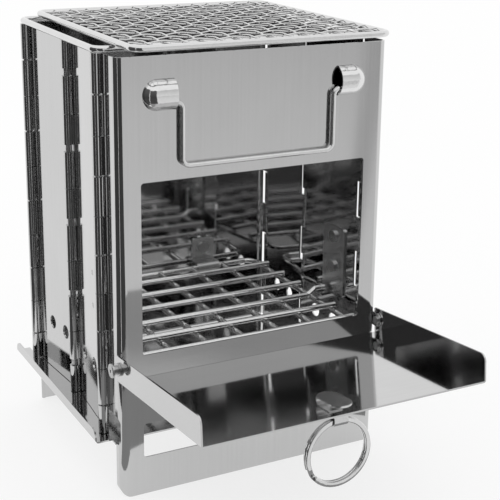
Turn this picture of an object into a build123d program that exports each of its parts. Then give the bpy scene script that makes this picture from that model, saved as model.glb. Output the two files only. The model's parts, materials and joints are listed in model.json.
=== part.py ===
from build123d import *
from math import cos, hypot, radians, sin
import os

os.makedirs("parts", exist_ok=True)

# A folding camping stove: a sheet steel box whose side walls fold inward on piano hinges.
# +Z is up, the front faces -Y, and the origin is the middle of the front panel's bottom edge.

# Box of sheet steel
wall_width = 135.0
wall_height = 203.0
wall_depth = 120.0
sheet = 0.8
corner_radius = 4.0
front_foot_radius = 5.0
back_foot_radius = 2.5
window_radius = 1.5

# Windows in the front panel
window_width = 113.2
upper_window_low = 68.6
upper_window_high = 148.2
lower_window_low = 18.3
lower_window_high = 35.0

# Piano hinges
pin_diameter = 3.1
pin_clearance = 0.05
front_return = 18.0
back_return = 4.4
mid_inset = 3.7
knuckle_count = 10
barrel_drop = 0.2
knuckle_pitch = 18.09
knuckle_gap = 0.3
corner_pair_gap = 0.8
mid_pair_gap = 3.6
knuckle_notch = 2.8
leaf_drop = 0.4

# Base plate and the slots that hold it
plate_bottom = 25.3
plate_overhang = 8.5
plate_shelf = 4.5
plate_front = 7.5
plate_back_gap = 2.2
tongue_reach = 1.5
tongue_inward = 6.1
tongue_cover = 1.0
lip_height = 5.7
lip_front_step = 1.5
lip_radius = 4.0
lip_bend = 1.12
horn_length = 9.5
horn_gap = 1.5
plate_play = 0.1
slot_front = 2.0
slot_height = 13.5
slot_radius = 3.0
foot_depth = 6.5

# Round air holes in the side walls
vent_diameter = 7.0
vent_height = 52.0
vent_near = 14.0
vent_far = 30.0

# Fuel door, which opens down into a tray
door_pivot_y = -1.6
door_pivot_z = 65.0
door_rise_angle = 5.3
door_clearance = 0.2
door_length = 84.2
door_drop = 7.4
door_flange = 13.0
door_back = 3.2
door_front_radius = 3.5
door_back_radius = 1.0
door_bend = 1.3
door_stop_gap = 0.1
ear_radius = 3.4
ear_root = 6.0

# Door rivets
rivet_shank = 3.0
rivet_clearance = 0.06
rivet_spool_diameter = 4.2
rivet_collar_diameter = 6.0
rivet_collar = 0.9
rivet_stand_off = 3.2
rivet_head_diameter = 6.6
rivet_head = 1.0
rivet_dimple_diameter = 1.5
rivet_dimple = 0.5
rivet_tail_diameter = 4.0
rivet_tail = 0.8

# Spring clip on the door, and the ring in it
clip_x = -5.4
clip_strip = 0.5
clip_width = 6.6
tongue_width = 10.0
tongue_length = 18.9
tongue_overhang = 3.8
tongue_gap = 4.1
tongue_bend_inset = 2.5
clip_slot_play = 0.2
ring_outer = 31.0
ring_wire_radial = 2.1
ring_wire_axial = 3.0
ring_wire_round = 0.9
ring_play = 1.0
ring_eye_play = 0.55

# Carrying bail and its two cups
cup_radius = 7.4
cup_wall = 0.8
cup_sunk = 2.4
cup_inner_end = 40.7
cup_length = 14.8
cup_drop = 16.9
bail_wire = 2.3
bail_clearance = 0.85
bail_sag = 3.0
bail_stand_in = 2.95
bail_stub = 10.5
bail_length = 28.6
bail_bend = 3.5

# Loose grill on top: a wire rectangle on the walls, and a woven grill on that
rest_gap = 0.1
support_wire = 3.0
support_half_width = 70.7
support_front = 14.6
support_back = 117.0
grill_wire = 3.0
grill_size = 125.0
grill_front = -9.0
grill_bend = 5.0
mesh_wire = 0.8
mesh_lift = 0.9
mesh_end_gap = 0.05
mesh_along_count = 14
mesh_across_count = 12

# Fire grate
grate_rod = 3.0
grate_height = 66.0
grate_front = 6.0
grate_back_gap = 7.26
grate_cross_count = 6
grate_side = 57.0
grate_long_count = 7
grate_overhang = 1.0
grate_front_overhang = 2.0
grate_bend = 6.0
grate_weld = 0.5
grate_shelf_gap = 0.2
grate_curl_play = 0.1
crank_row = 2
crank_rise = 3.0
crank_start = 52.5
crank_run = 4.5
crank_end = 62.2

# Brackets that carry the grate
strap = 1.0
back_bracket_x = 29.0
back_bracket_width = 13.0
back_bracket_rise = 15.0
back_rivet_rise = 9.6
leaf_bracket_near = 10.0
leaf_bracket_far = 28.0
leaf_bracket_rise = 37.0
leaf_rivet_rises = (15.7, 31.8)
leaf_shelf_near = 19.6
leaf_shelf_reach = 7.0
leaf_bracket_radius = 2.0
small_rivet_head = 6.0
small_rivet_dome = 1.2
small_rivet_shank = 2.6
small_rivet_clearance = 0.05

# Places that follow from the sizes above
half_width = wall_width / 2
inner_x = half_width - sheet
bore_radius = pin_diameter / 2 + pin_clearance
barrel_radius = bore_radius + sheet
axis_x = inner_x + barrel_radius
mid_x = axis_x - mid_inset
front_axis_y = front_return
back_axis_y = wall_depth - back_return
mid_y = (front_axis_y + back_axis_y) / 2
leaf_length = hypot(mid_inset, mid_y - front_axis_y)
barrel_top = wall_height - barrel_drop
leaf_top = wall_height - leaf_drop
plate_top = plate_bottom + sheet
leaf_bottom = plate_top + knuckle_gap
plate_edge = axis_x + barrel_radius + plate_shelf
grate_pitch = (wall_depth - grate_back_gap - grate_front) / grate_cross_count
grate_low = grate_height - grate_rod
back_bracket_top = grate_low + back_bracket_rise
back_bracket_rivet = grate_low + back_rivet_rise
leaf_bracket_top = grate_height + leaf_bracket_rise
leaf_bracket_rivets = [grate_height + rise for rise in leaf_rivet_rises]
rise_sin = sin(radians(door_rise_angle))
rise_cos = cos(radians(door_rise_angle))


def wall_plan(near, far):
    """Plan of the box's rounded sheet wall between two depths."""
    with BuildSketch(Plane.XY) as plan:
        with Locations((0, wall_depth / 2)):
            RectangleRounded(wall_width, wall_depth, corner_radius)
            RectangleRounded(
                wall_width - 2 * sheet, wall_depth - 2 * sheet, corner_radius - sheet, mode=Mode.SUBTRACT
            )
        with Locations((0, (near + far) / 2)):
            Rectangle(2 * wall_width, far - near, mode=Mode.INTERSECT)
    return plan.sketch


def knuckle_rows(first, pair_gap):
    """Lowest and highest point of every second knuckle, counted from the top."""
    rows = []
    for row in range(first, knuckle_count, 2):
        high = barrel_top - row * knuckle_pitch
        gap = pair_gap if first == 0 else knuckle_gap
        low = max(high - knuckle_pitch + gap, leaf_bottom)
        rows.append((low, high))
    return rows


def add_panel_knuckles(axis_y, edges):
    """Knuckles of a front or back panel, rolled from the plan of its bent edges."""
    for low, high in knuckle_rows(0, corner_pair_gap):
        with BuildSketch(Plane.XY.offset(low)) as knuckle:
            add(edges)
            with Locations((-axis_x, axis_y), (axis_x, axis_y)):
                Circle(barrel_radius)
        extrude(knuckle.sketch, amount=high - low)
    with BuildSketch(Plane.XY) as bores:
        with Locations((-axis_x, axis_y), (axis_x, axis_y)):
            Circle(bore_radius)
    extrude(bores.sketch, amount=wall_height, mode=Mode.SUBTRACT)


def cut_plate_slot(slot_middle, foot_middle, foot_top):
    """Slot across both bent edges for the base plate, over a short foot."""
    slot_length = 2 * front_return
    with BuildSketch(Plane.YZ.offset(-wall_width)) as slot:
        with Locations((slot_middle, foot_top + slot_height / 2)):
            RectangleRounded(slot_length, slot_height, slot_radius)
        with Locations((foot_middle, foot_top / 2)):
            Rectangle(slot_length, foot_top)
    extrude(slot.sketch, amount=2 * wall_width, mode=Mode.SUBTRACT)


def round_feet(radius):
    """Round the two bottom corners as seen from the front."""
    with BuildSketch(Plane.XZ) as corners:
        for side in (-1, 1):
            with Locations((side * (half_width - radius / 2), radius / 2)):
                Rectangle(radius, radius)
        for side in (-1, 1):
            with Locations((side * (half_width - radius), radius)):
                Circle(radius, mode=Mode.SUBTRACT)
    extrude(corners.sketch, amount=-2 * wall_depth, mode=Mode.SUBTRACT)


front_wall = wall_plan(0, front_axis_y - knuckle_notch)
front_edges = wall_plan(front_axis_y - knuckle_notch, front_axis_y)
back_wall = wall_plan(back_axis_y + knuckle_notch, wall_depth)
back_edges = wall_plan(back_axis_y, back_axis_y + knuckle_notch)

# Front panel with its two windows, door ears and hinge knuckles
with BuildPart() as front_panel:
    with BuildSketch(Plane.XY):
        add(front_wall)
    extrude(amount=wall_height)
    add_panel_knuckles(front_axis_y, front_edges)
    with BuildSketch(Plane.XZ):
        for low, high in ((upper_window_low, upper_window_high), (lower_window_low, lower_window_high)):
            with Locations((0, (low + high) / 2)):
                RectangleRounded(window_width, high - low, window_radius)
    extrude(amount=-2 * sheet, mode=Mode.SUBTRACT)
    cut_plate_slot(slot_front + front_return, foot_depth + front_return, plate_bottom)
    round_feet(front_foot_radius)
    for left_face in (-half_width, inner_x):
        with BuildSketch(Plane.YZ.offset(left_face)):
            with Locations((door_pivot_y, door_pivot_z)):
                Circle(ear_radius)
            with Locations(((door_pivot_y + ear_root) / 2, door_pivot_z)):
                Rectangle(ear_root - door_pivot_y, 2 * ear_radius)
        extrude(amount=sheet)
    with BuildSketch(Plane.YZ.offset(-wall_width)):
        with Locations((door_pivot_y, door_pivot_z)):
            Circle(rivet_shank / 2 + rivet_clearance)
    extrude(amount=2 * wall_width, mode=Mode.SUBTRACT)
front_panel.part.label = "front_panel"

# Back panel, with rivet holes for the two grate brackets
with BuildPart() as back_panel:
    with BuildSketch(Plane.XY):
        add(back_wall)
    extrude(amount=wall_height)
    add_panel_knuckles(back_axis_y, back_edges)
    cut_plate_slot(
        wall_depth - slot_front - front_return,
        wall_depth - foot_depth - front_return,
        plate_bottom - plate_play,
    )
    round_feet(back_foot_radius)
    with BuildSketch(Plane.XZ.offset(-wall_depth - sheet)):
        with Locations((-back_bracket_x, back_bracket_rivet), (back_bracket_x, back_bracket_rivet)):
            Circle(small_rivet_shank / 2 + small_rivet_clearance)
    extrude(amount=3 * sheet, mode=Mode.SUBTRACT)
back_panel.part.label = "back_panel"


def leaf_plan(start, end, height):
    """Horizontal plane whose X runs from one hinge axis to the next. Inward is -Y on the left side."""
    direction = (end[0] - start[0], end[1] - start[1], 0)
    return Plane(origin=(start[0], start[1], height), x_dir=direction, z_dir=(0, 0, 1))


def leaf_face(start, end):
    """Upright plane in the line of the hinge axes. Its normal points inward on the left side."""
    direction = (end[0] - start[0], end[1] - start[1], 0)
    return Plane(origin=(start[0], start[1], 0), x_dir=direction, z_dir=(direction[1], -direction[0], 0))


left_front_axis = (-axis_x, front_axis_y)
left_mid_axis = (-mid_x, mid_y)
left_back_axis = (-axis_x, back_axis_y)
leaf_middle = -bore_radius - sheet / 2


def add_leaf(start, end, start_rows, end_rows, vents):
    """A flat side wall between two hinge axes, with its knuckles and its air holes."""
    with BuildSketch(leaf_plan(start, end, leaf_bottom)) as wall:
        with Locations((leaf_length / 2, leaf_middle)):
            Rectangle(leaf_length - 2 * knuckle_notch, sheet)
    extrude(wall.sketch, amount=leaf_top - leaf_bottom)
    for place, inward, rows in ((0, 1, start_rows), (leaf_length, -1, end_rows)):
        for low, high in rows:
            with BuildSketch(leaf_plan(start, end, low)) as knuckle:
                with Locations((place + inward * knuckle_notch / 2, leaf_middle)):
                    Rectangle(knuckle_notch, sheet)
                with Locations((place, 0)):
                    Circle(barrel_radius)
            extrude(knuckle.sketch, amount=high - low)
    with BuildSketch(leaf_plan(start, end, 0)) as bores:
        with Locations((0, 0), (leaf_length, 0)):
            Circle(bore_radius)
    extrude(bores.sketch, amount=wall_height, mode=Mode.SUBTRACT)
    with BuildSketch(leaf_face(start, end)) as air_holes:
        for place in vents:
            with Locations((place, vent_height)):
                Circle(vent_diameter / 2)
    extrude(air_holes.sketch, amount=2 * barrel_radius, mode=Mode.SUBTRACT)


# Side walls, two leaves on each side
leaf_bracket_middle = (leaf_bracket_near + leaf_bracket_far) / 2
with BuildPart() as left_front_leaf:
    add_leaf(
        left_front_axis, left_mid_axis,
        knuckle_rows(1, corner_pair_gap), knuckle_rows(0, mid_pair_gap),
        (leaf_length - vent_near, leaf_length - vent_far),
    )
    with BuildSketch(leaf_face(left_front_axis, left_mid_axis)):
        for height in leaf_bracket_rivets:
            with Locations((leaf_bracket_middle, height)):
                Circle(small_rivet_shank / 2 + small_rivet_clearance)
    extrude(amount=2 * barrel_radius, mode=Mode.SUBTRACT)
left_front_leaf.part.label = "left_front_leaf"

with BuildPart() as left_rear_leaf:
    add_leaf(
        left_mid_axis, left_back_axis,
        knuckle_rows(1, mid_pair_gap), knuckle_rows(1, corner_pair_gap),
        (vent_near, vent_far),
    )
left_rear_leaf.part.label = "left_rear_leaf"

with BuildPart() as right_front_leaf:
    mirror(left_front_leaf.part, about=Plane.YZ)
right_front_leaf.part.label = "right_front_leaf"

with BuildPart() as right_rear_leaf:
    mirror(left_rear_leaf.part, about=Plane.YZ)
right_rear_leaf.part.label = "right_rear_leaf"

# Six hinge pins
hinge_pins = []
for side, side_name in ((-1, "left"), (1, "right")):
    for x, y, place_name in (
        (axis_x, front_axis_y, "front"), (mid_x, mid_y, "middle"), (axis_x, back_axis_y, "back")
    ):
        with BuildPart() as hinge_pin:
            with BuildSketch(Plane.XY.offset(leaf_bottom)):
                with Locations((side * x, y)):
                    Circle(pin_diameter / 2)
            extrude(amount=barrel_top - leaf_bottom)
        hinge_pin.part.label = f"{side_name}_{place_name}_pin"
        hinge_pins.append(hinge_pin)

# Base plate with turned-up side lips; its corners stand on the feet of the panels
plate_tongue = foot_depth - tongue_reach
plate_inner_edge = half_width - tongue_inward
plate_side_front = front_axis_y - plate_overhang
plate_back = wall_depth - sheet - plate_back_gap
horn_x = half_width + horn_gap
with BuildPart() as base_plate:
    with BuildSketch(Plane.XY.offset(plate_bottom)):
        with BuildLine():
            Polyline(
                (0, plate_front),
                (plate_inner_edge, plate_front),
                (plate_inner_edge, plate_tongue),
                (half_width + tongue_cover, plate_tongue),
                (half_width + tongue_cover, plate_side_front),
                (plate_edge, plate_side_front),
                (plate_edge, wall_depth + horn_length),
                (horn_x, wall_depth + horn_length),
                (horn_x, wall_depth - plate_tongue),
                (plate_inner_edge, wall_depth - plate_tongue),
                (plate_inner_edge, plate_back),
                (0, plate_back),
            )
            mirror(about=Plane.YZ)
        make_face()
    extrude(amount=sheet)
    lip_length = wall_depth + horn_length - plate_side_front - lip_front_step
    for left_face in (-plate_edge, plate_edge - sheet):
        with BuildSketch(Plane.YZ.offset(left_face)) as lip:
            with Locations((plate_side_front + lip_front_step + lip_length / 2, plate_bottom + lip_height / 2)):
                Rectangle(lip_length, lip_height)
            fillet(lip.vertices().group_by(Axis.Y)[-1], lip_radius)
        extrude(amount=sheet)
    low_sides = base_plate.edges().filter_by(Axis.Y).group_by(Axis.Z)[0]
    fillet([low_sides.sort_by(Axis.X)[0], low_sides.sort_by(Axis.X)[-1]], lip_bend)
base_plate.part.label = "base_plate"

# Fuel door: a shallow channel whose flanges straddle the panel's ears
tray_side = Plane(
    origin=(0, door_pivot_y, door_pivot_z), x_dir=(0, -rise_cos, rise_sin), z_dir=(-1, 0, 0)
)
tray_floor = Plane(
    origin=(0, door_pivot_y, door_pivot_z), x_dir=(0, -rise_cos, rise_sin), z_dir=(0, rise_sin, rise_cos)
)
tray_section = Plane(
    origin=(0, door_pivot_y, door_pivot_z), x_dir=(1, 0, 0), z_dir=(0, -rise_cos, rise_sin)
)
flange_inner = half_width + door_clearance
flange_outer = flange_inner + sheet
floor_back = (door_pivot_y - (door_drop - sheet) * rise_sin + door_stop_gap) / rise_cos
floor_top = sheet - door_drop
eye_room = ring_wire_axial / 2 + ring_eye_play
ring_pivot_along = door_length - clip_strip - eye_room
ring_pivot_up = -door_drop - ring_wire_radial / 2 - ring_play
strip_back = ring_pivot_along - eye_room - clip_strip


def on_tray(along, up):
    """Y and Z of a point given along the open tray and up from its pivot."""
    return (
        door_pivot_y - along * rise_cos + up * rise_sin,
        door_pivot_z + along * rise_sin + up * rise_cos,
    )


with BuildPart() as door_tray:
    for left_face in (-flange_outer, flange_inner):
        with BuildSketch(tray_side.offset(-left_face)) as flange:
            with Locations(((door_length - door_back) / 2, door_flange / 2 - door_drop)):
                Rectangle(door_length + door_back, door_flange)
            fillet(flange.vertices().sort_by(Axis.X)[-2:].sort_by(Axis.Y)[-1], door_front_radius)
            fillet(flange.vertices().group_by(Axis.X)[0], door_back_radius)
            Circle(rivet_shank / 2 + rivet_clearance, mode=Mode.SUBTRACT)
        extrude(amount=-sheet)
    with BuildSketch(tray_side):
        with Locations(((door_length + floor_back) / 2, floor_top - sheet / 2)):
            Rectangle(door_length - floor_back, sheet)
    extrude(amount=flange_outer, both=True)
    with BuildSketch(tray_section):
        for side in (-1, 1):
            with Locations((side * (flange_outer - door_bend / 2), door_bend / 2 - door_drop)):
                Rectangle(door_bend, door_bend)
        for side in (-1, 1):
            with Locations((side * (flange_outer - door_bend), door_bend - door_drop)):
                Circle(door_bend, mode=Mode.SUBTRACT)
    extrude(amount=2 * door_length, both=True, mode=Mode.SUBTRACT)
    with BuildSketch(tray_floor.offset(-door_drop)):
        with Locations((strip_back + clip_strip / 2, clip_x)):
            Rectangle(clip_strip + clip_slot_play, clip_width + clip_slot_play)
    extrude(amount=sheet, mode=Mode.SUBTRACT)
door_tray.part.label = "door_tray"

# Door rivets, which are the door's two pivots
with BuildPart() as door_rivet_left:
    with BuildSketch(Plane.YZ.offset(-inner_x)):
        with Locations((door_pivot_y, door_pivot_z)):
            Circle(rivet_shank / 2)
    extrude(amount=-(flange_outer - inner_x + rivet_stand_off))
    with BuildSketch(Plane.YZ.offset(-inner_x)):
        with Locations((door_pivot_y, door_pivot_z)):
            Circle(rivet_tail_diameter / 2)
    extrude(amount=rivet_tail)
    for diameter, thickness in (
        (rivet_spool_diameter, rivet_stand_off - rivet_clearance), (rivet_collar_diameter, rivet_collar)
    ):
        with BuildSketch(Plane.YZ.offset(-flange_outer - rivet_clearance)):
            with Locations((door_pivot_y, door_pivot_z)):
                Circle(diameter / 2)
        extrude(amount=-thickness)
    with BuildSketch(Plane.YZ.offset(-flange_outer - rivet_stand_off)):
        with Locations((door_pivot_y, door_pivot_z)):
            Circle(rivet_head_diameter / 2)
    extrude(amount=-rivet_head)
    fillet(door_rivet_left.edges().filter_by(GeomType.CIRCLE).sort_by(Axis.X)[0], rivet_head / 2)
    with BuildSketch(Plane.YZ.offset(-flange_outer - rivet_stand_off - rivet_head)):
        with Locations((door_pivot_y, door_pivot_z)):
            Circle(rivet_dimple_diameter / 2)
    extrude(amount=rivet_dimple, mode=Mode.SUBTRACT)
door_rivet_left.part.label = "door_rivet_left"

with BuildPart() as door_rivet_right:
    mirror(door_rivet_left.part, about=Plane.YZ)
door_rivet_right.part.label = "door_rivet_right"

# Spring clip: an eye under the tray, a strip along the floor, and a springy tongue above it
tongue_under = floor_top + clip_strip + tongue_gap
bend_radius = (tongue_gap + 2 * clip_strip) / 2
tongue_tip = door_length + tongue_overhang
bend_along = tongue_tip - tongue_length + tongue_bend_inset
with BuildPart() as ring_clip:
    with BuildSketch(tray_side.offset(-clip_x)):
        with Locations((ring_pivot_along, ring_pivot_up)):
            Circle(eye_room + clip_strip)
        with Locations((ring_pivot_along, (ring_pivot_up - door_drop) / 2)):
            Rectangle(2 * (eye_room + clip_strip), -door_drop - ring_pivot_up)
        with Locations((ring_pivot_along, ring_pivot_up)):
            Circle(eye_room, mode=Mode.SUBTRACT)
        with Locations((ring_pivot_along, (ring_pivot_up - door_drop) / 2)):
            Rectangle(2 * eye_room, -door_drop - ring_pivot_up, mode=Mode.SUBTRACT)
        with Locations((ring_pivot_along, clip_strip - door_drop)):
            Rectangle(2 * (eye_room + clip_strip), 2 * clip_strip, mode=Mode.SUBTRACT)
        with Locations((strip_back + clip_strip / 2, (ring_pivot_up + floor_top + clip_strip) / 2)):
            Rectangle(clip_strip, floor_top + clip_strip - ring_pivot_up)
        with Locations(((bend_along + strip_back + clip_strip) / 2, floor_top + clip_strip / 2)):
            Rectangle(strip_back + clip_strip - bend_along, clip_strip)
        with Locations((bend_along, floor_top + bend_radius)):
            Circle(bend_radius)
            Circle(bend_radius - clip_strip, mode=Mode.SUBTRACT)
        with Locations((bend_along + bend_radius / 2, floor_top + bend_radius)):
            Rectangle(bend_radius, tongue_gap, mode=Mode.SUBTRACT)
    extrude(amount=clip_width / 2, both=True)
    with BuildSketch(tray_floor.offset(tongue_under)):
        with Locations((tongue_tip - tongue_length / 2, clip_x)):
            SlotOverall(tongue_length, tongue_width)
    extrude(amount=clip_strip)
ring_clip.part.label = "ring_clip"

# Split ring hanging in the clip's eye
ring_top_y, ring_top_z = on_tray(ring_pivot_along, ring_pivot_up)
ring_middle_radius = (ring_outer - ring_wire_radial) / 2
with BuildPart() as pull_ring:
    with BuildSketch(Plane.XY.offset(ring_top_z - ring_middle_radius)):
        with Locations((clip_x + ring_middle_radius, ring_top_y)):
            RectangleRounded(ring_wire_radial, ring_wire_axial, ring_wire_round)
    revolve(axis=Axis((clip_x, ring_top_y, ring_top_z - ring_middle_radius), (0, 1, 0)))
pull_ring.part.label = "pull_ring"

# Cups on the front panel that hold the ends of the bail: shallow barrels with a ball-shaped end
cup_height = wall_height - cup_drop
cup_end_radius = (cup_radius ** 2 - cup_sunk ** 2) ** 0.5
barrel_length = cup_length - cup_end_radius
barrel_end = cup_inner_end + barrel_length
with BuildPart() as handle_cup_right:
    for radius, mode in ((cup_radius, Mode.ADD), (cup_radius - cup_wall, Mode.SUBTRACT)):
        with Locations((cup_inner_end + barrel_length / 2, cup_sunk, cup_height)):
            Cylinder(radius, barrel_length, rotation=(0, 90, 0), mode=mode)
        with Locations((barrel_end, cup_sunk, cup_height)):
            Sphere(radius, mode=mode)
    with Locations((cup_inner_end - cup_radius, cup_sunk, cup_height)):
        Box(2 * cup_radius, 2 * cup_radius, 2 * cup_radius, mode=Mode.SUBTRACT)
    split(bisect_by=Plane.XZ, keep=Keep.TOP)
handle_cup_right.part.label = "handle_cup_right"

with BuildPart() as handle_cup_left:
    mirror(handle_cup_right.part, about=Plane.YZ)
handle_cup_left.part.label = "handle_cup_left"

# Carrying bail, whose ends lie in the cups
bail_y = -bail_clearance - bail_wire / 2
bail_height = cup_height - bail_sag
bail_half_width = cup_inner_end - bail_stand_in
with BuildPart() as handle_bail:
    bail_end = bail_half_width + bail_stub
    bail_low = bail_height - bail_length
    with BuildLine(Plane.XZ.offset(-bail_y)) as bail_path:
        FilletPolyline(
            (-bail_end, bail_height),
            (-bail_half_width, bail_height),
            (-bail_half_width, bail_low),
            (bail_half_width, bail_low),
            (bail_half_width, bail_height),
            (bail_end, bail_height),
            radius=bail_bend,
        )
    with BuildSketch(Plane(origin=bail_path.line @ 0, z_dir=bail_path.line % 0)):
        Circle(bail_wire / 2)
    sweep()
handle_bail.part.label = "handle_bail"


def add_wire_loop(half_x, near, far, height, bend, diameter):
    """A closed rectangle of round wire with bent corners."""
    with BuildLine(Plane.XY.offset(height)) as loop:
        FilletPolyline(
            (-half_x, near), (half_x, near), (half_x, far), (-half_x, far), radius=bend, close=True
        )
    with BuildSketch(Plane(origin=loop.line @ 0, z_dir=loop.line % 0)) as section:
        Circle(diameter / 2)
    sweep(section.sketch, path=loop.line)


# Wire rectangle on top of the walls
support_height = wall_height + rest_gap + support_wire / 2
with BuildPart() as grill_support:
    add_wire_loop(support_half_width, support_front, support_back, support_height, grill_bend, support_wire)
grill_support.part.label = "grill_support"

# Woven grill: a wire square with two layers of thinner wires inside it
grill_height = support_height + (support_wire + grill_wire) / 2 + rest_gap
grill_back = grill_front + grill_size
grill_middle = (grill_front + grill_back) / 2
with BuildPart() as grill_frame:
    add_wire_loop(grill_size / 2, grill_front, grill_back, grill_height, grill_bend, grill_wire)
grill_frame.part.label = "grill_frame"

mesh_low = grill_height + mesh_lift - mesh_wire / 2
mesh_length = grill_size - grill_wire - 2 * mesh_end_gap


def even_places(count, span):
    """Middles of wires that divide a span into equal gaps, counted from its middle."""
    return [(number - (count - 1) / 2) * span / (count + 1) for number in range(count)]


with BuildPart() as mesh_wires_along:
    with Locations([(place, grill_middle, mesh_low) for place in even_places(mesh_along_count, grill_size)]):
        Cylinder(mesh_wire / 2, mesh_length, rotation=(90, 0, 0))
mesh_wires_along.part.label = "mesh_wires_along"

mesh_high = mesh_low + mesh_wire
with BuildPart() as mesh_wires_across:
    with Locations([
        (0, grill_middle + place, mesh_high) for place in even_places(mesh_across_count, grill_size)
    ]):
        Cylinder(mesh_wire / 2, mesh_length, rotation=(0, 90, 0))
mesh_wires_across.part.label = "mesh_wires_across"

# Fire grate: long rods and a bent frame rod below, cross rods on top
grate_back = grate_front + grate_cross_count * grate_pitch
grate_tip = grate_front - grate_front_overhang
with BuildPart() as grate_long_rods:
    with BuildLine(Plane.XY.offset(grate_low)) as grate_path:
        FilletPolyline(
            (-grate_side, grate_tip), (-grate_side, grate_back), (grate_side, grate_back), (grate_side, grate_tip),
            radius=grate_bend,
        )
    with BuildSketch(Plane(origin=grate_path.line @ 0, z_dir=grate_path.line % 0)):
        Circle(grate_rod / 2)
    sweep()
    long_pitch = 2 * grate_side / (grate_long_count - 1)
    long_length = grate_back - grate_rod / 2 + grate_weld - grate_tip
    with Locations([
        (number * long_pitch - grate_side, grate_tip + long_length / 2, grate_low)
        for number in range(1, grate_long_count - 1)
    ]):
        Cylinder(grate_rod / 2, long_length, rotation=(90, 0, 0))
grate_long_rods.part.label = "grate_long_rods"

crank_y = grate_front + crank_row * grate_pitch
with BuildPart() as grate_cross_rods:
    with Locations([
        (0, grate_front + row * grate_pitch, grate_height)
        for row in range(grate_cross_count) if row != crank_row
    ]):
        Cylinder(grate_rod / 2, 2 * (grate_side + grate_overhang), rotation=(0, 90, 0))
    with BuildLine(Plane.XZ.offset(-crank_y)) as crank_path:
        FilletPolyline(
            (-crank_end, grate_height + crank_rise),
            (-crank_start - crank_run, grate_height + crank_rise),
            (-crank_start, grate_height),
            (crank_start, grate_height),
            (crank_start + crank_run, grate_height + crank_rise),
            (crank_end, grate_height + crank_rise),
            radius=grate_rod,
        )
    with BuildSketch(Plane(origin=crank_path.line @ 0, z_dir=crank_path.line % 0)):
        Circle(grate_rod / 2)
    sweep()
grate_cross_rods.part.label = "grate_cross_rods"

# Brackets riveted to the back panel, curled round the grate's back rod
curl_bore = grate_rod / 2 + grate_curl_play
back_inner_y = wall_depth - sheet
with BuildPart() as grate_bracket_left:
    with BuildSketch(Plane.YZ.offset(-back_bracket_x)):
        with Locations((grate_back, grate_low)):
            Circle(curl_bore + strap)
        with Locations((grate_back + curl_bore, grate_low)):
            Rectangle(2 * curl_bore, 2 * (curl_bore + strap), mode=Mode.SUBTRACT)
        with Locations(((grate_back + back_inner_y) / 2, grate_low + curl_bore + strap / 2)):
            Rectangle(back_inner_y - grate_back, strap)
        with Locations((grate_back, grate_low)):
            Circle(curl_bore, mode=Mode.SUBTRACT)
        with Locations((back_inner_y - strap / 2, (grate_low + curl_bore + back_bracket_top) / 2)):
            Rectangle(strap, back_bracket_top - grate_low - curl_bore)
    extrude(amount=back_bracket_width / 2, both=True)
    top_edges = grate_bracket_left.edges().filter_by(Axis.Y).group_by(Axis.Z)[-1]
    fillet(top_edges, leaf_bracket_radius)
    with BuildSketch(Plane.XZ.offset(-wall_depth)):
        with Locations((-back_bracket_x, back_bracket_rivet)):
            Circle(small_rivet_shank / 2 + small_rivet_clearance)
    extrude(amount=2 * (strap + sheet), mode=Mode.SUBTRACT)
grate_bracket_left.part.label = "grate_bracket_left"

with BuildPart() as grate_bracket_right:
    mirror(grate_bracket_left.part, about=Plane.YZ)
grate_bracket_right.part.label = "grate_bracket_right"


def add_small_rivet(plane, x, y, grip):
    """A rivet head on a plane's outer side, and its shank, flush with the far side of the sheets it grips."""
    for radius, height in ((small_rivet_head / 2, small_rivet_dome), (small_rivet_shank / 2, -grip)):
        with BuildSketch(plane) as section:
            with Locations((x, y)):
                Circle(radius)
        extrude(section.sketch, amount=height)


# Rivets of the two back brackets
with BuildPart() as grate_bracket_rivets:
    for x in (-back_bracket_x, back_bracket_x):
        add_small_rivet(Plane.XZ.offset(strap - back_inner_y), x, back_bracket_rivet, strap + sheet)
grate_bracket_rivets.part.label = "grate_bracket_rivets"

# Brackets on the front leaves, with a shelf under the cranked rod's ends
shelf_top = grate_height + crank_rise - grate_rod / 2 - grate_shelf_gap
left_face_plane = leaf_face(left_front_axis, left_mid_axis)
leaf_inner = bore_radius + sheet
with BuildPart() as leaf_bracket_left:
    with BuildSketch(left_face_plane.offset(leaf_inner)) as bracket_plate:
        with Locations((leaf_bracket_middle, (shelf_top - strap + leaf_bracket_top) / 2)):
            Rectangle(leaf_bracket_far - leaf_bracket_near, leaf_bracket_top - shelf_top + strap)
        fillet(bracket_plate.vertices(), leaf_bracket_radius)
        for height in leaf_bracket_rivets:
            with Locations((leaf_bracket_middle, height)):
                Circle(small_rivet_shank / 2 + small_rivet_clearance, mode=Mode.SUBTRACT)
    extrude(amount=strap)
    shelf_middle = (leaf_shelf_near + leaf_bracket_far - leaf_bracket_radius) / 2
    with BuildSketch(left_face_plane.offset(leaf_inner)):
        with Locations((shelf_middle, shelf_top - strap / 2)):
            Rectangle(leaf_bracket_far - leaf_bracket_radius - leaf_shelf_near, strap)
    extrude(amount=leaf_shelf_reach)
leaf_bracket_left.part.label = "leaf_bracket_left"

with BuildPart() as leaf_bracket_right:
    mirror(leaf_bracket_left.part, about=Plane.YZ)
leaf_bracket_right.part.label = "leaf_bracket_right"

with BuildPart() as leaf_bracket_rivets_left:
    for height in leaf_bracket_rivets:
        add_small_rivet(left_face_plane.offset(leaf_inner + strap), leaf_bracket_middle, height, strap + sheet)
leaf_bracket_rivets_left.part.label = "leaf_bracket_rivets_left"

with BuildPart() as leaf_bracket_rivets_right:
    mirror(leaf_bracket_rivets_left.part, about=Plane.YZ)
leaf_bracket_rivets_right.part.label = "leaf_bracket_rivets_right"

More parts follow.
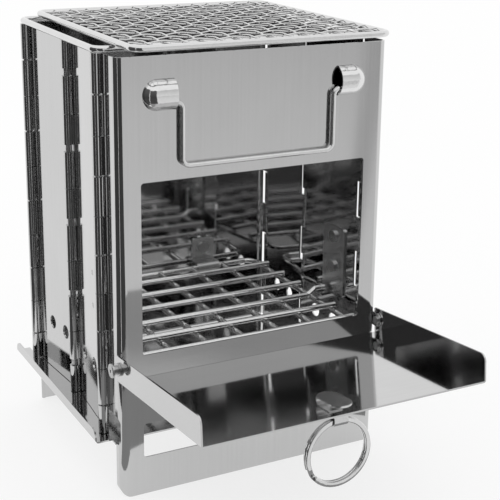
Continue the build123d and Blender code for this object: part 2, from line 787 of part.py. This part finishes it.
pieces = [
    front_panel, back_panel,
    left_front_leaf, left_rear_leaf, right_front_leaf, right_rear_leaf,
    base_plate, door_tray, door_rivet_left, door_rivet_right, ring_clip, pull_ring,
    handle_cup_left, handle_cup_right, handle_bail,
    grill_support, grill_frame, mesh_wires_along, mesh_wires_across,
    grate_long_rods, grate_cross_rods,
    grate_bracket_left, grate_bracket_right, grate_bracket_rivets,
    leaf_bracket_left, leaf_bracket_right, leaf_bracket_rivets_left, leaf_bracket_rivets_right,
] + hinge_pins
for piece in pieces:
    export_step(piece.part, f"parts/{piece.part.label}.step")
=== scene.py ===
import json
import math

import bmesh
import bpy
from mathutils import Matrix, Vector


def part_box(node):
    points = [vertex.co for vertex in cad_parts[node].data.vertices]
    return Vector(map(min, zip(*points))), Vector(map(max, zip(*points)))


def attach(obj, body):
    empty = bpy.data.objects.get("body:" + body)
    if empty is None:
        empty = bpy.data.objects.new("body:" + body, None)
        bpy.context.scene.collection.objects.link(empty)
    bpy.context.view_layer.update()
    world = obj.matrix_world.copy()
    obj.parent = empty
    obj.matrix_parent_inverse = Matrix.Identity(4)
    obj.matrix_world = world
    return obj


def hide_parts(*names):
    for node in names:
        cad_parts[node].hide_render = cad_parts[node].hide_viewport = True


bl_info = {
    "name": "Folding Camping Stove",
    "version": (1, 0, 0),
    "blender": (4, 5, 0),
    "location": "View3D > Sidebar > Stove",
    "description": "Steel finishes and fine parts of a folding camping stove around its packed frame",
    "category": "Object",
}

MILLIMETRE = 0.001

# Axes that the lines of rolled sheet follow
GRAIN_SIDEWAYS, GRAIN_UPRIGHT = 0, 2

# Depths of the sheet's lines, as the bump node's height
UPRIGHT_DEPTH, LEVEL_DEPTH, SATIN_DEPTH = 0.005, 0.006, 0.012

# Tone and roughness of the satin brackets and clip, as multiples of the sheet's
SATIN_TONE, SATIN_ROUGHNESS = 1.15, 3.5

# Scales of the patterns in the steel, larger for finer
LINES_ACROSS, LINES_ALONG = 900.0, 14.0
SMUDGE_SCALE, WAVE_SCALE = 24.0, 11.0
DRAWN_GRAIN_SCALE, HANDLING_SCALE = 700.0, 45.0
LEVEL_NODES = ("base_plate", "door_tray")

# Woven wires: points along each, corners of its section, where it ends as a share of the frame rod in
# from the rod's middle, and how far from the frame its end starts to rise, in gaps between wires
WIRE_POINTS, WIRE_CORNERS = 130, 8
WIRE_END, WIRE_RISE = 0.42, 0.75

# Split ring: width of its flat wire, points in a turn, the shares of its length between which it steps
# to the next layer, and its height and corner rounding as shares of the room for one layer
RING_WIRE_WIDTH = 2.1 * MILLIMETRE
RING_POINTS, RING_CORNER_POINTS = 96, 3
RING_STEP = (0.485, 0.515)
RING_WIRE_HEIGHT, RING_ROUNDING = 0.96, 0.32

# Clip rim: how steeply the open door rises, and points round the tongue and round the rim
DOOR_RISE = math.radians(5.3)
RIM_POINTS, RIM_CORNERS = 40, 14

FLOOR_HALF = 6.0
SENSOR_WIDTH = 36.0

# Cards around the stove that its steel mirrors: headings from straight ahead in degrees, near and far
# edge as distance and height in metres, and brightness at each of the two edges
STOVE_MIDDLE = Vector((0.0, 0.06, 0.0))
CARD_STRIPS = 24
CARDS = {
    "ground_left_front": ((-118.0, -60.0), (0.17, 0.002), (0.9, 0.002), (0.07, 0.05)),
    "ground_front": ((-57.0, -14.0), (0.2, 0.002), (1.2, 0.002), (0.07, 0.05)),
    # This card is a painted shadow: a dark sheet on the floor under the tray that stands in for the
    # tray's shadow as the steel mirrors it
    "painted_tray_shadow": ((-60.0, 45.0), (0.11, 0.002), (0.2, 0.002), (0.3, 0.3)),
    "ground_right_front": ((-14.0, 48.0), (0.2, 0.002), (1.8, 0.002), (0.84, 0.6)),
    "ground_band": ((33.6, 35.2), (0.2, 0.004), (1.8, 0.004), (0.5, 0.5)),
    "wall_left_front": ((-118.0, -60.0), (0.9, 0.0), (0.9, 0.8), (0.06, 0.12)),
    "wall_front": ((-57.0, -14.0), (1.2, 0.0), (1.2, 0.9), (0.06, 0.12)),
    "wall_right_front": ((-14.0, 60.0), (1.8, 0.0), (1.8, 1.2), (0.85, 0.6)),
}
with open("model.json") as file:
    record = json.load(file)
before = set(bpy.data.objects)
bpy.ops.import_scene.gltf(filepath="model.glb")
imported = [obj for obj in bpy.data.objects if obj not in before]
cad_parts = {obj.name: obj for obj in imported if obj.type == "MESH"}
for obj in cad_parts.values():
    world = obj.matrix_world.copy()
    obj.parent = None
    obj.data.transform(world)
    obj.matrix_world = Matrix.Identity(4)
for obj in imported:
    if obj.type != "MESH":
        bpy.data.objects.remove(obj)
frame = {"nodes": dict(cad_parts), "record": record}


def node_centre(name):
    low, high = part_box(name)
    return (low + high) / 2


def node_size(name):
    low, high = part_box(name)
    return high - low


# Shader and geometry node helpers

class Socket:
    """A node's output that Python expressions can add maths to."""

    def __init__(self, graph, output):
        self.graph = graph
        self.output = output

    def maths(self, operation, *others, clamp=False):
        settings = {"operation": operation, "use_clamp": clamp}
        return self.graph.add("ShaderNodeMath", settings, dict(enumerate((self, *others))))

    def __add__(self, other):
        return self.maths("ADD", other)

    def __sub__(self, other):
        return self.maths("SUBTRACT", other)

    def __rsub__(self, other):
        return self.graph.add("ShaderNodeMath", {"operation": "SUBTRACT"}, {0: other, 1: self})

    def __mul__(self, other):
        return self.maths("MULTIPLY", other)

    def __truediv__(self, other):
        return self.maths("DIVIDE", other)


class Graph:
    """A node tree that is filled one node at a time."""

    def __init__(self, tree):
        self.tree = tree

    def add(self, kind, settings=None, sockets=None, output=0):
        """Makes a node and sets it up; a socket takes a value, a link, or a list of several links."""
        node = self.tree.nodes.new(kind)
        for name, value in (settings or {}).items():
            if name == "stops":
                for element, (place, colour) in zip(node.color_ramp.elements, value):
                    element.position = place
                    element.color = colour
            else:
                setattr(node, name, value)
        for name, value in (sockets or {}).items():
            if isinstance(value, (Socket, list)):
                for source in value if isinstance(value, list) else [value]:
                    self.tree.links.new(source.output, node.inputs[name])
            else:
                node.inputs[name].default_value = value
        return Socket(self, node.outputs[output]) if node.outputs else None


def grey(level):
    return (level, level, level, 1.0)


def new_material(name):
    material = bpy.data.materials.new(name)
    material.use_nodes = True
    material.node_tree.nodes.clear()
    return material, Graph(material.node_tree)


def finish_material(graph, shader):
    graph.add("ShaderNodeOutputMaterial", {}, {"Surface": shader})


def node_tree(name, sizes):
    """A geometry tree with a named input for each size, one for the finish, and the graph to fill it."""
    tree = bpy.data.node_groups.new(name, "GeometryNodeTree")
    tree.interface.new_socket("Geometry", in_out="OUTPUT", socket_type="NodeSocketGeometry")
    kinds = {int: "NodeSocketInt", float: "NodeSocketFloat", Vector: "NodeSocketVector"}
    for label, value in sizes.items():
        tree.interface.new_socket(label, in_out="INPUT", socket_type=kinds[type(value)])
    tree.interface.new_socket("Finish", in_out="INPUT", socket_type="NodeSocketMaterial")
    graph = Graph(tree)
    given = {label: graph.add("NodeGroupInput", output=label) for label in (*sizes, "Finish")}
    return tree, graph, given


def vector_of(graph, x=0.0, y=0.0, z=0.0):
    return graph.add("ShaderNodeCombineXYZ", {}, {"X": x, "Y": y, "Z": z})


def close_tree(graph, shape, finish):
    smooth = graph.add("GeometryNodeSetShadeSmooth", {}, {"Geometry": shape})
    real = graph.add("GeometryNodeRealizeInstances", {}, {"Geometry": smooth})
    dressed = graph.add("GeometryNodeSetMaterial", {}, {"Geometry": real, "Material": finish})
    graph.add("NodeGroupOutput", {}, {"Geometry": dressed})


def grow(name, tree, sizes, finish):
    """Runs a geometry tree and keeps what it makes as one plain mesh object."""
    piece = bpy.data.objects.new(name, bpy.data.meshes.new(name + "_start"))
    bpy.context.scene.collection.objects.link(piece)
    modifier = piece.modifiers.new("shape", "NODES")
    modifier.node_group = tree
    given = dict(sizes, Finish=finish)
    for item in tree.interface.items_tree:
        if item.item_type == "SOCKET" and item.in_out == "INPUT":
            modifier[item.identifier] = given[item.name]
    bpy.context.view_layer.update()
    evaluated = bpy.context.evaluated_depsgraph_get()
    mesh = bpy.data.meshes.new_from_object(piece.evaluated_get(evaluated), depsgraph=evaluated)
    piece.modifiers.remove(modifier)
    mesh.name = name
    piece.data = mesh
    mesh.materials.clear()
    mesh.materials.append(finish)
    return piece


# Finishes

def noise(graph, place, scale, detail, roughness):
    return graph.add(
        "ShaderNodeTexNoise", {"noise_dimensions": "3D"},
        {"Vector": place, "Scale": scale, "Detail": detail, "Roughness": roughness},
    )


def shade_between(graph, factor, dark, light):
    """A grey that goes from one stop to another; each stop is a place and a tone."""
    stops = [(place, grey(tone)) for place, tone in (dark, light)]
    return graph.add("ShaderNodeValToRGB", {"stops": stops}, {"Fac": factor})


def finish_steel(graph, shade, gloss, strength, distance, height):
    bump = graph.add(
        "ShaderNodeBump", {}, {"Strength": strength, "Distance": distance, "Height": height}
    )
    shader = graph.add(
        "ShaderNodeBsdfPrincipled", {},
        {"Base Color": shade, "Metallic": 1.0, "Roughness": gloss, "Normal": bump},
    )
    finish_material(graph, shader)


def rolled_steel(name, tone, roughness, grain, scratch_depth):
    """Bright rolled sheet: fine lines along one axis, soft smudges and a slight waviness."""
    material, graph = new_material(name)
    place = graph.add("ShaderNodeTexCoord", output="Object")
    stretch = tuple(LINES_ALONG if axis == grain else LINES_ACROSS for axis in range(3))
    lines_at = graph.add("ShaderNodeMapping", {}, {"Vector": place, "Scale": stretch})
    lines = noise(graph, lines_at, 1.0, 3.0, 0.55)
    smudges = noise(graph, place, SMUDGE_SCALE, 4.0, 0.6)
    waves = noise(graph, place, WAVE_SCALE, 1.0, 0.4)
    marks = lines * 0.45 + smudges * 0.55
    shade = shade_between(graph, marks, (0.25, tone * 0.94), (0.75, tone * 1.03))
    gloss = (lines * 0.5 + smudges * 0.5) * (roughness * 0.7) + roughness * 0.65
    height = lines * scratch_depth + waves * (scratch_depth * 10.0)
    finish_steel(graph, shade, gloss, 0.25, 0.001, height)
    return material


def drawn_wire(name, tone, roughness):
    """Polished drawn wire: fine grain and a few darker specks where it was welded or handled."""
    material, graph = new_material(name)
    place = graph.add("ShaderNodeTexCoord", output="Object")
    grain = noise(graph, place, DRAWN_GRAIN_SCALE, 3.0, 0.6)
    handling = noise(graph, place, HANDLING_SCALE, 4.0, 0.65)
    marks = grain * 0.35 + handling * 0.65
    shade = shade_between(graph, marks, (0.3, tone * 0.86), (0.7, tone))
    gloss = grain * (roughness * 0.5) + handling * (roughness * 0.5) + roughness * 0.5
    finish_steel(graph, shade, gloss, 0.15, 0.0003, grain)
    return material


# Settings that a user would change

class SteelSettings(bpy.types.PropertyGroup):
    sheet_tone: bpy.props.FloatProperty(
        name="Sheet tone", description="Brightness of the sheet steel",
        default=0.58, min=0.0, max=1.0,
    )
    sheet_roughness: bpy.props.FloatProperty(
        name="Sheet roughness", description="Roughness of the sheet steel",
        default=0.07, min=0.0, max=1.0,
    )
    wire_tone: bpy.props.FloatProperty(
        name="Wire tone", description="Brightness of the wires and rods",
        default=0.76, min=0.0, max=1.0,
    )
    wire_roughness: bpy.props.FloatProperty(
        name="Wire roughness", description="Roughness of the wires and rods",
        default=0.08, min=0.0, max=1.0,
    )
    bright_tone: bpy.props.FloatProperty(
        name="Plated tone", description="Brightness of the plated ring and cups",
        default=0.8, min=0.0, max=1.0,
    )
    bright_roughness: bpy.props.FloatProperty(
        name="Plated roughness", description="Roughness of the plated ring and cups",
        default=0.06, min=0.0, max=1.0,
    )
    rivet_tone: bpy.props.FloatProperty(
        name="Rivet tone", description="Brightness of the rivets and hinge pins",
        default=0.55, min=0.0, max=1.0,
    )
    rivet_roughness: bpy.props.FloatProperty(
        name="Rivet roughness", description="Roughness of the rivets and hinge pins",
        default=0.3, min=0.0, max=1.0,
    )


class FinePartSettings(bpy.types.PropertyGroup):
    wires_along: bpy.props.IntProperty(
        name="Wires front to back", description="Woven wires that run front to back",
        default=14, min=2,
    )
    wires_across: bpy.props.IntProperty(
        name="Wires side to side", description="Woven wires that run side to side",
        default=12, min=2,
    )
    ring_turns: bpy.props.FloatProperty(
        name="Ring turns", description="Turns of the split ring's coil",
        default=1.94, min=1.1, max=2.0,
    )
    ring_spin: bpy.props.FloatProperty(
        name="Ring spin", description="Where round the ring its two ends are",
        unit="ROTATION", default=math.radians(200.0),
    )
    rim_thickness: bpy.props.FloatProperty(
        name="Clip rim", description="Thickness of the rolled rim on the clip's tongue",
        unit="LENGTH", default=0.0012, min=0.0,
    )


class StageSettings(bpy.types.PropertyGroup):
    eye: bpy.props.FloatVectorProperty(
        name="Camera place", description="Where the camera stands", size=3,
        unit="LENGTH", default=(-0.24842, -0.46665, 0.28490),
    )
    turn: bpy.props.FloatVectorProperty(
        name="Camera turn", description="Heading to the right, tilt down and roll of the camera",
        size=3, unit="ROTATION",
        default=(math.radians(29.127), math.radians(15.855), math.radians(-1.143)),
    )
    lens: bpy.props.FloatProperty(
        name="Lens", description="Focal length for a 36 mm wide picture",
        unit="CAMERA", default=87.262,
    )
    shift: bpy.props.FloatVectorProperty(
        name="Shift", description="Sideways and upward shift of the picture", size=2,
        default=(-0.0591, -0.1018),
    )
    floor_tone: bpy.props.FloatProperty(
        name="Floor tone", description="Brightness of the floor", default=0.97, min=0.0, max=1.0,
    )
    backdrop_share: bpy.props.FloatProperty(
        name="Backdrop share", description="How far the floor fades into the white backdrop",
        default=0.75, min=0.0, max=1.0,
    )
    sky_strength: bpy.props.FloatProperty(
        name="Sky strength", description="Strength of the even white light", default=1.0, min=0.0,
    )


# Operators

class STOVE_OT_steel(bpy.types.Operator):
    """Give every CAD piece its steel finish"""

    bl_idname = "stove.steel"
    bl_label = "Steel finishes"

    def execute(self, context):
        steel = context.scene.stove_steel
        tone, roughness = steel.sheet_tone, steel.sheet_roughness
        upright = rolled_steel("sheet_upright", tone, roughness, GRAIN_UPRIGHT, UPRIGHT_DEPTH)
        level = rolled_steel("sheet_level", tone, roughness, GRAIN_SIDEWAYS, LEVEL_DEPTH)
        satin = rolled_steel(
            "bracket_satin", tone * SATIN_TONE, roughness * SATIN_ROUGHNESS,
            GRAIN_UPRIGHT, SATIN_DEPTH,
        )
        finishes = {
            "wire_steel": drawn_wire("wire_polished", steel.wire_tone, steel.wire_roughness),
            "bright_steel": drawn_wire("plated", steel.bright_tone, steel.bright_roughness),
            "rivet_steel": drawn_wire("rivet_satin", steel.rivet_tone, steel.rivet_roughness),
        }
        slots = {part["node"]: part["material_slot"] for part in frame["record"]["subparts"]}
        for name, piece in frame["nodes"].items():
            if name == "ring_clip" or "bracket_left" in name or "bracket_right" in name:
                finish = satin
            elif slots[name] == "sheet_steel":
                finish = level if name in LEVEL_NODES else upright
            else:
                finish = finishes[slots[name]]
            piece.data.materials.clear()
            piece.data.materials.append(finish)
        return {"FINISHED"}


class STOVE_OT_woven_grill(bpy.types.Operator):
    """Weave the grill's crimped wires, whose ends rise onto the inner side of the wire frame"""

    bl_idname = "stove.woven_grill"
    bl_label = "Woven grill"

    def execute(self, context):
        settings = context.scene.stove_fine_parts
        low_layer, high_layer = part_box("mesh_wires_along"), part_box("mesh_wires_across")
        rod = node_size("grill_frame").z
        middle = node_centre("grill_frame")
        middle.z = (low_layer[0].z + high_layer[1].z) / 2
        sizes = {
            "Wires along": settings.wires_along, "Wires across": settings.wires_across,
            "Frame size": node_size("grill_frame").x - rod, "Frame rod": rod,
            "Wire": node_size("mesh_wires_along").z, "Middle": middle,
        }
        tree, graph, given = node_tree("woven_wires", sizes)
        layers = [self.add_layer(graph, given, cross_axis) for cross_axis in (0, 1)]
        joined = graph.add("GeometryNodeJoinGeometry", {}, {"Geometry": layers})
        placed = graph.add(
            "GeometryNodeTransform", {}, {"Geometry": joined, "Translation": given["Middle"]}
        )
        close_tree(graph, placed, given["Finish"])
        finish = frame["nodes"]["grill_frame"].data.materials[0]
        grill = grow("woven_grill", tree, sizes, finish)
        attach(grill, "grill")
        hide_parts("mesh_wires_along", "mesh_wires_across")
        return {"FINISHED"}

    def add_layer(self, graph, given, cross_axis):
        """Parallel wires side by side along one axis, crimped over and under the other layer's."""
        counts = (given["Wires along"], given["Wires across"])
        steps = [given["Frame size"] / (count + 1.0) for count in counts]
        count, step = counts[cross_axis], steps[cross_axis]
        frame_half = given["Frame size"] * 0.5
        wire_half = frame_half - given["Frame rod"] * WIRE_END
        side, other = ("x", "y")[cross_axis], ("x", "y")[1 - cross_axis]
        first = step * (count - 1.0) * -0.5
        points = graph.add(
            "GeometryNodeMeshLine", {"mode": "OFFSET"},
            {"Count": count, "Start Location": vector_of(graph, **{side: first}),
             "Offset": vector_of(graph, **{side: step})},
        )
        straight = graph.add(
            "GeometryNodeCurvePrimitiveLine", {},
            {"Start": vector_of(graph, **{other: wire_half * -1.0}),
             "End": vector_of(graph, **{other: wire_half})},
        )
        wires = graph.add(
            "GeometryNodeInstanceOnPoints", {}, {"Points": points, "Instance": straight}
        )
        real = graph.add("GeometryNodeRealizeInstances", {}, {"Geometry": wires})
        fine = graph.add("GeometryNodeResampleCurve", {}, {"Curve": real, "Count": WIRE_POINTS})
        place = graph.add("GeometryNodeInputPosition")
        places = [
            graph.add("ShaderNodeSeparateXYZ", {}, {"Vector": place}, axis) for axis in ("X", "Y")
        ]
        waves = [
            ((at / gap + (number - 1.0) * 0.5) * math.pi).maths("COSINE")
            for at, gap, number in zip(places, steps, counts)
        ]
        weave = waves[0] * waves[1] * (1.0 if cross_axis == 0 else -1.0)
        landing = graph.add(
            "ShaderNodeMapRange", {"interpolation_type": "SMOOTHSTEP"},
            {"Value": places[1 - cross_axis].maths("ABSOLUTE"),
             "From Min": frame_half - steps[1 - cross_axis] * WIRE_RISE,
             "From Max": frame_half - given["Frame rod"] * 0.5},
        )
        lift = (weave * (1.0 - landing) + landing) * given["Wire"] * 0.5
        crimped = graph.add(
            "GeometryNodeSetPosition", {}, {"Geometry": fine, "Offset": vector_of(graph, z=lift)}
        )
        round_section = graph.add(
            "GeometryNodeCurvePrimitiveCircle", {},
            {"Resolution": WIRE_CORNERS, "Radius": given["Wire"] * 0.5},
        )
        return graph.add(
            "GeometryNodeCurveToMesh", {},
            {"Curve": crimped, "Profile Curve": round_section, "Fill Caps": True},
        )


class STOVE_OT_split_ring(bpy.types.Operator):
    """Coil the split ring, whose flat wire steps from one layer to the next"""

    bl_idname = "stove.split_ring"
    bl_label = "Split ring"

    def execute(self, context):
        settings = context.scene.stove_fine_parts
        size = node_size("pull_ring")
        sizes = {
            "Radius": size.z / 2 - RING_WIRE_WIDTH / 2, "Turns": settings.ring_turns,
            "Coil width": RING_WIRE_WIDTH, "Coil height": size.y / 2,
            "Spin": settings.ring_spin, "Middle": node_centre("pull_ring"),
        }
        tree, graph, given = node_tree("split_ring_coil", sizes)
        coil = graph.add(
            "GeometryNodeCurveSpiral", {},
            {"Resolution": RING_POINTS, "Rotations": given["Turns"],
             "Start Radius": given["Radius"], "End Radius": given["Radius"], "Height": 0.0},
        )
        share = graph.add("GeometryNodeSplineParameter", output="Factor")
        step = graph.add(
            "ShaderNodeMapRange", {"interpolation_type": "SMOOTHSTEP"},
            {"Value": share, "From Min": RING_STEP[0], "From Max": RING_STEP[1],
             "To Min": given["Coil height"] * -0.5, "To Max": given["Coil height"] * 0.5},
        )
        stepped = graph.add(
            "GeometryNodeSetPosition", {}, {"Geometry": coil, "Offset": vector_of(graph, z=step)}
        )
        flat = graph.add("GeometryNodeSetCurveNormal", {"mode": "Z_UP"}, {"Curve": stepped})
        section = graph.add(
            "GeometryNodeCurvePrimitiveQuadrilateral", {},
            {"Width": given["Coil width"], "Height": given["Coil height"] * RING_WIRE_HEIGHT},
        )
        rounded = graph.add(
            "GeometryNodeFilletCurve", {"mode": "POLY"},
            {"Curve": section, "Count": RING_CORNER_POINTS,
             "Radius": given["Coil height"] * RING_ROUNDING},
        )
        solid = graph.add(
            "GeometryNodeCurveToMesh", {},
            {"Curve": flat, "Profile Curve": rounded, "Fill Caps": True},
        )
        spun = graph.add(
            "GeometryNodeTransform", {},
            {"Geometry": solid, "Rotation": vector_of(graph, z=given["Spin"])},
        )
        hung = graph.add(
            "GeometryNodeTransform", {},
            {"Geometry": spun, "Rotation": vector_of(graph, x=math.pi / 2),
             "Translation": given["Middle"]},
        )
        close_tree(graph, hung, given["Finish"])
        ring = grow("split_ring", tree, sizes, frame["nodes"]["pull_ring"].data.materials[0])
        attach(ring, "ring")
        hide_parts("pull_ring")
        return {"FINISHED"}


class STOVE_OT_clip_rim(bpy.types.Operator):
    """Roll the front edge of the clip's tongue"""

    bl_idname = "stove.clip_rim"
    bl_label = "Clip rim"

    def execute(self, context):
        thickness = context.scene.stove_fine_parts.rim_thickness
        low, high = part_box("ring_clip")
        radius = (high.x - low.x) / 2
        tip = Vector((
            (low.x + high.x) / 2, low.y + radius * math.cos(DOOR_RISE),
            high.z - radius * math.sin(DOOR_RISE) - thickness / 2 * math.cos(DOOR_RISE),
        ))
        sizes = {
            "Radius": radius - thickness / 2, "Thickness": thickness, "Rise": DOOR_RISE,
            "Middle": tip,
        }
        tree, graph, given = node_tree("rolled_rim", sizes)
        arc = graph.add(
            "GeometryNodeCurveArc", {},
            {"Resolution": RIM_POINTS, "Radius": given["Radius"],
             "Start Angle": math.pi, "Sweep Angle": math.pi},
        )
        section = graph.add(
            "GeometryNodeCurvePrimitiveCircle", {},
            {"Resolution": RIM_CORNERS, "Radius": given["Thickness"] * 0.5},
        )
        rim = graph.add(
            "GeometryNodeCurveToMesh", {},
            {"Curve": arc, "Profile Curve": section, "Fill Caps": True},
        )
        placed = graph.add(
            "GeometryNodeTransform", {},
            {"Geometry": rim, "Rotation": vector_of(graph, x=given["Rise"] * -1.0),
             "Translation": given["Middle"]},
        )
        close_tree(graph, placed, given["Finish"])
        piece = grow("clip_rim", tree, sizes, frame["nodes"]["pull_ring"].data.materials[0])
        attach(piece, "door")
        return {"FINISHED"}


class STOVE_OT_stage(bpy.types.Operator):
    """Make the floor, the cards, the light and the camera"""

    bl_idname = "stove.stage"
    bl_label = "Stage"

    def execute(self, context):
        settings = context.scene.stove_stage
        self.make_floor(context, settings)
        for name, card in CARDS.items():
            self.make_card(context, name, *card)
        self.make_light(context, settings)
        self.make_camera(context, settings)
        return {"FINISHED"}

    def make_floor(self, context, settings):
        mesh = bpy.data.meshes.new("floor")
        shape = bmesh.new()
        bmesh.ops.create_grid(shape, x_segments=1, y_segments=1, size=FLOOR_HALF)
        shape.to_mesh(mesh)
        shape.free()
        floor = bpy.data.objects.new("floor", mesh)
        context.scene.collection.objects.link(floor)
        material, graph = new_material("floor")
        ground = graph.add("ShaderNodeBsdfDiffuse", {}, {"Color": grey(settings.floor_tone)})
        backdrop = graph.add("ShaderNodeEmission", {}, {"Color": grey(1.0), "Strength": 1.0})
        camera_ray = graph.add("ShaderNodeLightPath", output="Is Camera Ray")
        glossy_ray = graph.add("ShaderNodeLightPath", output="Is Glossy Ray")
        share = camera_ray.maths("ADD", glossy_ray, clamp=True) * settings.backdrop_share
        mixed = graph.add("ShaderNodeMixShader", {}, {0: share, 1: ground, 2: backdrop})
        finish_material(graph, mixed)
        mesh.materials.append(material)

    def make_card(self, context, name, headings, near, far, tones):
        """A card that only mirror rays see, between two headings and two places out from the stove."""
        shape = bmesh.new()
        first, last = headings
        rows = []
        for strip in range(CARD_STRIPS + 1):
            heading = math.radians(first + (last - first) * strip / CARD_STRIPS)
            out = Vector((math.sin(heading), -math.cos(heading), 0.0))
            rows.append([
                shape.verts.new(STOVE_MIDDLE + out * distance + Vector((0.0, 0.0, height)))
                for distance, height in (near, far)
            ])
        for (a, b), (c, d) in zip(rows, rows[1:]):
            shape.faces.new((a, b, d, c))
        mesh = bpy.data.meshes.new(name)
        shape.to_mesh(mesh)
        shape.free()
        material, graph = new_material(name)
        place = graph.add("ShaderNodeTexCoord", output="Object")
        if near[1] == far[1]:
            measure = graph.add(
                "ShaderNodeVectorMath", {"operation": "DISTANCE"}, {0: place, 1: STOVE_MIDDLE}, "Value"
            )
            start, end = near[0], far[0]
        else:
            measure = graph.add("ShaderNodeSeparateXYZ", {}, {"Vector": place}, "Z")
            start, end = near[1], far[1]
        fade = graph.add(
            "ShaderNodeMapRange", {},
            {"Value": measure, "From Min": start, "From Max": end,
             "To Min": tones[0], "To Max": tones[1]},
        )
        finish_material(graph, graph.add("ShaderNodeEmission", {}, {"Strength": fade}))
        mesh.materials.append(material)
        card = bpy.data.objects.new(name, mesh)
        card.visible_camera = False
        card.visible_diffuse = False
        card.visible_shadow = False
        card.visible_transmission = False
        context.scene.collection.objects.link(card)

    def make_light(self, context, settings):
        world = bpy.data.worlds.new("studio")
        world.use_nodes = True
        world.node_tree.nodes.clear()
        graph = Graph(world.node_tree)
        sky = graph.add(
            "ShaderNodeBackground", {}, {"Color": grey(1.0), "Strength": settings.sky_strength}
        )
        graph.add("ShaderNodeOutputWorld", {}, {"Surface": sky})
        context.scene.world = world

    def make_camera(self, context, settings):
        heading, tilt, roll = settings.turn
        right = Vector((math.cos(heading), -math.sin(heading), 0.0))
        ahead = Vector((
            math.sin(heading) * math.cos(tilt), math.cos(heading) * math.cos(tilt), -math.sin(tilt)
        ))
        down = ahead.cross(right)
        rolled_right = right * math.cos(roll) + down * math.sin(roll)
        rolled_down = down * math.cos(roll) - right * math.sin(roll)
        camera_data = bpy.data.cameras.new("camera")
        camera_data.sensor_width = SENSOR_WIDTH
        camera_data.lens = settings.lens
        camera_data.shift_x, camera_data.shift_y = settings.shift
        camera = bpy.data.objects.new("camera", camera_data)
        turn = Matrix((rolled_right, -rolled_down, -ahead)).transposed()
        camera.matrix_world = Matrix.Translation(Vector(settings.eye)) @ turn.to_4x4()
        context.scene.collection.objects.link(camera)
        context.scene.camera = camera
        context.scene.view_settings.view_transform = "Standard"


class STOVE_PT_panel(bpy.types.Panel):
    """Lists the stove's settings and the buttons that run its operators"""

    bl_label = "Stove"
    bl_idname = "STOVE_PT_panel"
    bl_space_type = "VIEW_3D"
    bl_region_type = "UI"
    bl_category = "Stove"

    def draw(self, context):
        for group in (getattr(context.scene, name) for name in SETTINGS):
            for name in group.bl_rna.properties.keys():
                if name not in ("rna_type", "name"):
                    self.layout.prop(group, name)
        for operator in OPERATORS:
            self.layout.operator(operator.bl_idname)


SETTINGS = {
    "stove_steel": SteelSettings,
    "stove_fine_parts": FinePartSettings,
    "stove_stage": StageSettings,
}
OPERATORS = (
    STOVE_OT_steel, STOVE_OT_woven_grill, STOVE_OT_split_ring, STOVE_OT_clip_rim, STOVE_OT_stage,
)


def register():
    for group in SETTINGS.values():
        bpy.utils.register_class(group)
    for operator in OPERATORS:
        bpy.utils.register_class(operator)
    bpy.utils.register_class(STOVE_PT_panel)
    for name, group in SETTINGS.items():
        setattr(bpy.types.Scene, name, bpy.props.PointerProperty(type=group))


def unregister():
    for name in SETTINGS:
        delattr(bpy.types.Scene, name)
    bpy.utils.unregister_class(STOVE_PT_panel)
    for operator in reversed(OPERATORS):
        bpy.utils.unregister_class(operator)
    for group in reversed(list(SETTINGS.values())):
        bpy.utils.unregister_class(group)


def main():
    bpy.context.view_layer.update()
    register()
    bpy.ops.stove.steel()
    bpy.ops.stove.woven_grill()
    bpy.ops.stove.split_ring()
    bpy.ops.stove.clip_rim()
    bpy.ops.stove.stage()


if __name__ == "__main__":
    main()
